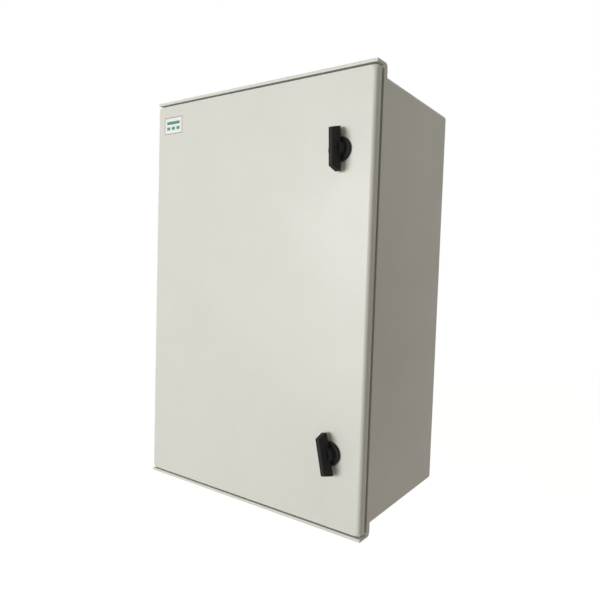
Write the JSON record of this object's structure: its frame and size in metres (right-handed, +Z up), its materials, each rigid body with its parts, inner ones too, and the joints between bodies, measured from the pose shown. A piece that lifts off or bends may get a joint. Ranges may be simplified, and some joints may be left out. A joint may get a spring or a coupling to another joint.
{
  "type": "dc combiner box",
  "caption": "Wall-mounted grey polyester combiner box with a hinged door, wing-knob locks, and fused strings, surge arrester and breaker inside.",
  "frame": {"origin": "centre of the flat back face, on the wall", "axes": "+Z up along the box's height, +Y into the wall, +X to the right seen from the front, so the door faces -Y"},
  "size_m": [0.43, 0.2692, 0.6557],
  "materials": {
    "grey_polyester": "moulded glass-reinforced polyester, light warm grey, satin",
    "black_polyamide": "black moulded, satin",
    "grey_polyamide": "light grey moulded",
    "seal_foam": "foamed seal, matt",
    "zinc_plated_steel": "zinc plated",
    "stainless_steel": "turned",
    "copper": "plain copper",
    "brass": "drawn bar",
    "device_thermoplastic": "light grey moulded",
    "carrier_thermoplastic": "grey moulded",
    "cartridge_thermoplastic": "orange-red moulded",
    "toggle_thermoplastic": "black moulded",
    "fuse_ceramic": "glazed ceramic with plated caps",
    "support_resin": "red moulding resin"
  },
  "bodies": {
    "case": {"enclosure_body": "grey_polyester", "hinge_pin_upper": "stainless_steel", "hinge_pin_lower": "stainless_steel", "mounting_plate": "zinc_plated_steel", "din_rail_upper": "zinc_plated_steel", "din_rail_lower": "zinc_plated_steel", "rail_stop_upper_left": "carrier_thermoplastic", "rail_stop_upper_right": "carrier_thermoplastic", "rail_stop_lower_left": "carrier_thermoplastic", "rail_stop_lower_right": "carrier_thermoplastic", "fuse_base_1": "device_thermoplastic", "fuse_base_2": "device_thermoplastic", "fuse_base_3": "device_thermoplastic", "fuse_base_4": "device_thermoplastic", "fuse_base_5": "device_thermoplastic", "fuse_base_6": "device_thermoplastic", "comb_busbar": "copper", "arrester_base": "device_thermoplastic", "breaker_body": "device_thermoplastic", "earth_bar": "brass", "negative_bar": "brass", "negative_bar_support": "support_resin", "string_gland_1": "grey_polyamide", "string_gland_2": "grey_polyamide", "string_gland_3": "grey_polyamide", "string_gland_4": "grey_polyamide", "string_gland_5": "grey_polyamide", "string_gland_6": "grey_polyamide", "output_gland_1": "grey_polyamide", "output_gland_2": "grey_polyamide", "earth_gland": "grey_polyamide"},
    "door": {"door_panel": "grey_polyester", "door_gasket": "seal_foam", "lock_bezel_upper": "black_polyamide", "lock_bezel_lower": "black_polyamide", "lock_nut_upper": "zinc_plated_steel", "lock_nut_lower": "zinc_plated_steel"},
    "upper_lock": {"lock_knob_upper": "black_polyamide", "lock_tongue_upper": "zinc_plated_steel"},
    "lower_lock": {"lock_knob_lower": "black_polyamide", "lock_tongue_lower": "zinc_plated_steel"},
    "fuse_lever_1": {"fuse_carrier_1": "carrier_thermoplastic", "fuse_link_1": "fuse_ceramic"},
    "fuse_lever_2": {"fuse_carrier_2": "carrier_thermoplastic", "fuse_link_2": "fuse_ceramic"},
    "fuse_lever_3": {"fuse_carrier_3": "carrier_thermoplastic", "fuse_link_3": "fuse_ceramic"},
    "fuse_lever_4": {"fuse_carrier_4": "carrier_thermoplastic", "fuse_link_4": "fuse_ceramic"},
    "fuse_lever_5": {"fuse_carrier_5": "carrier_thermoplastic", "fuse_link_5": "fuse_ceramic"},
    "fuse_lever_6": {"fuse_carrier_6": "carrier_thermoplastic", "fuse_link_6": "fuse_ceramic"},
    "cartridge_1": {"arrester_cartridge_1": "cartridge_thermoplastic"},
    "cartridge_2": {"arrester_cartridge_2": "cartridge_thermoplastic"},
    "cartridge_3": {"arrester_cartridge_3": "cartridge_thermoplastic"},
    "toggle": {"breaker_toggle": "toggle_thermoplastic"}
  },
  "joints": [
    {"name": "door_hinge", "type": "hinge", "parent": "case", "child": "door", "pos_m": [-0.211, -0.2325, 0], "axis": [0, 0, -1], "range_deg": [0, 120]},
    {"name": "upper_lock_turn", "type": "hinge", "parent": "door", "child": "upper_lock", "pos_m": [0.1625, -0.2442, 0.211], "axis": [0, -1, 0], "range_deg": [-2.4, 87.6]},
    {"name": "lower_lock_turn", "type": "hinge", "parent": "door", "child": "lower_lock", "pos_m": [0.1625, -0.2442, -0.211], "axis": [0, -1, 0], "range_deg": [-12.7, 77.3]},
    {"name": "fuse_tilt_1", "type": "hinge", "parent": "case", "child": "fuse_lever_1", "pos_m": [-0.08425, -0.0741, 0.094], "axis": [1, 0, 0], "range_deg": [0, 75]},
    {"name": "fuse_tilt_2", "type": "hinge", "parent": "case", "child": "fuse_lever_2", "pos_m": [-0.06595, -0.0741, 0.094], "axis": [1, 0, 0], "range_deg": [0, 75]},
    {"name": "fuse_tilt_3", "type": "hinge", "parent": "case", "child": "fuse_lever_3", "pos_m": [-0.04765, -0.0741, 0.094], "axis": [1, 0, 0], "range_deg": [0, 75]},
    {"name": "fuse_tilt_4", "type": "hinge", "parent": "case", "child": "fuse_lever_4", "pos_m": [-0.02935, -0.0741, 0.094], "axis": [1, 0, 0], "range_deg": [0, 75]},
    {"name": "fuse_tilt_5", "type": "hinge", "parent": "case", "child": "fuse_lever_5", "pos_m": [-0.01105, -0.0741, 0.094], "axis": [1, 0, 0], "range_deg": [0, 75]},
    {"name": "fuse_tilt_6", "type": "hinge", "parent": "case", "child": "fuse_lever_6", "pos_m": [0.00725, -0.0741, 0.094], "axis": [1, 0, 0], "range_deg": [0, 75]},
    {"name": "cartridge_pull_1", "type": "slide", "parent": "case", "child": "cartridge_1", "axis": [0, -1, 0], "range_m": [0, 0.03]},
    {"name": "cartridge_pull_2", "type": "slide", "parent": "case", "child": "cartridge_2", "axis": [0, -1, 0], "range_m": [0, 0.03]},
    {"name": "cartridge_pull_3", "type": "slide", "parent": "case", "child": "cartridge_3", "axis": [0, -1, 0], "range_m": [0, 0.03]},
    {"name": "breaker_switch", "type": "hinge", "parent": "case", "child": "toggle", "pos_m": [0, -0.0871, -0.06], "axis": [1, 0, 0], "range_deg": [0, 50]}
  ]
}
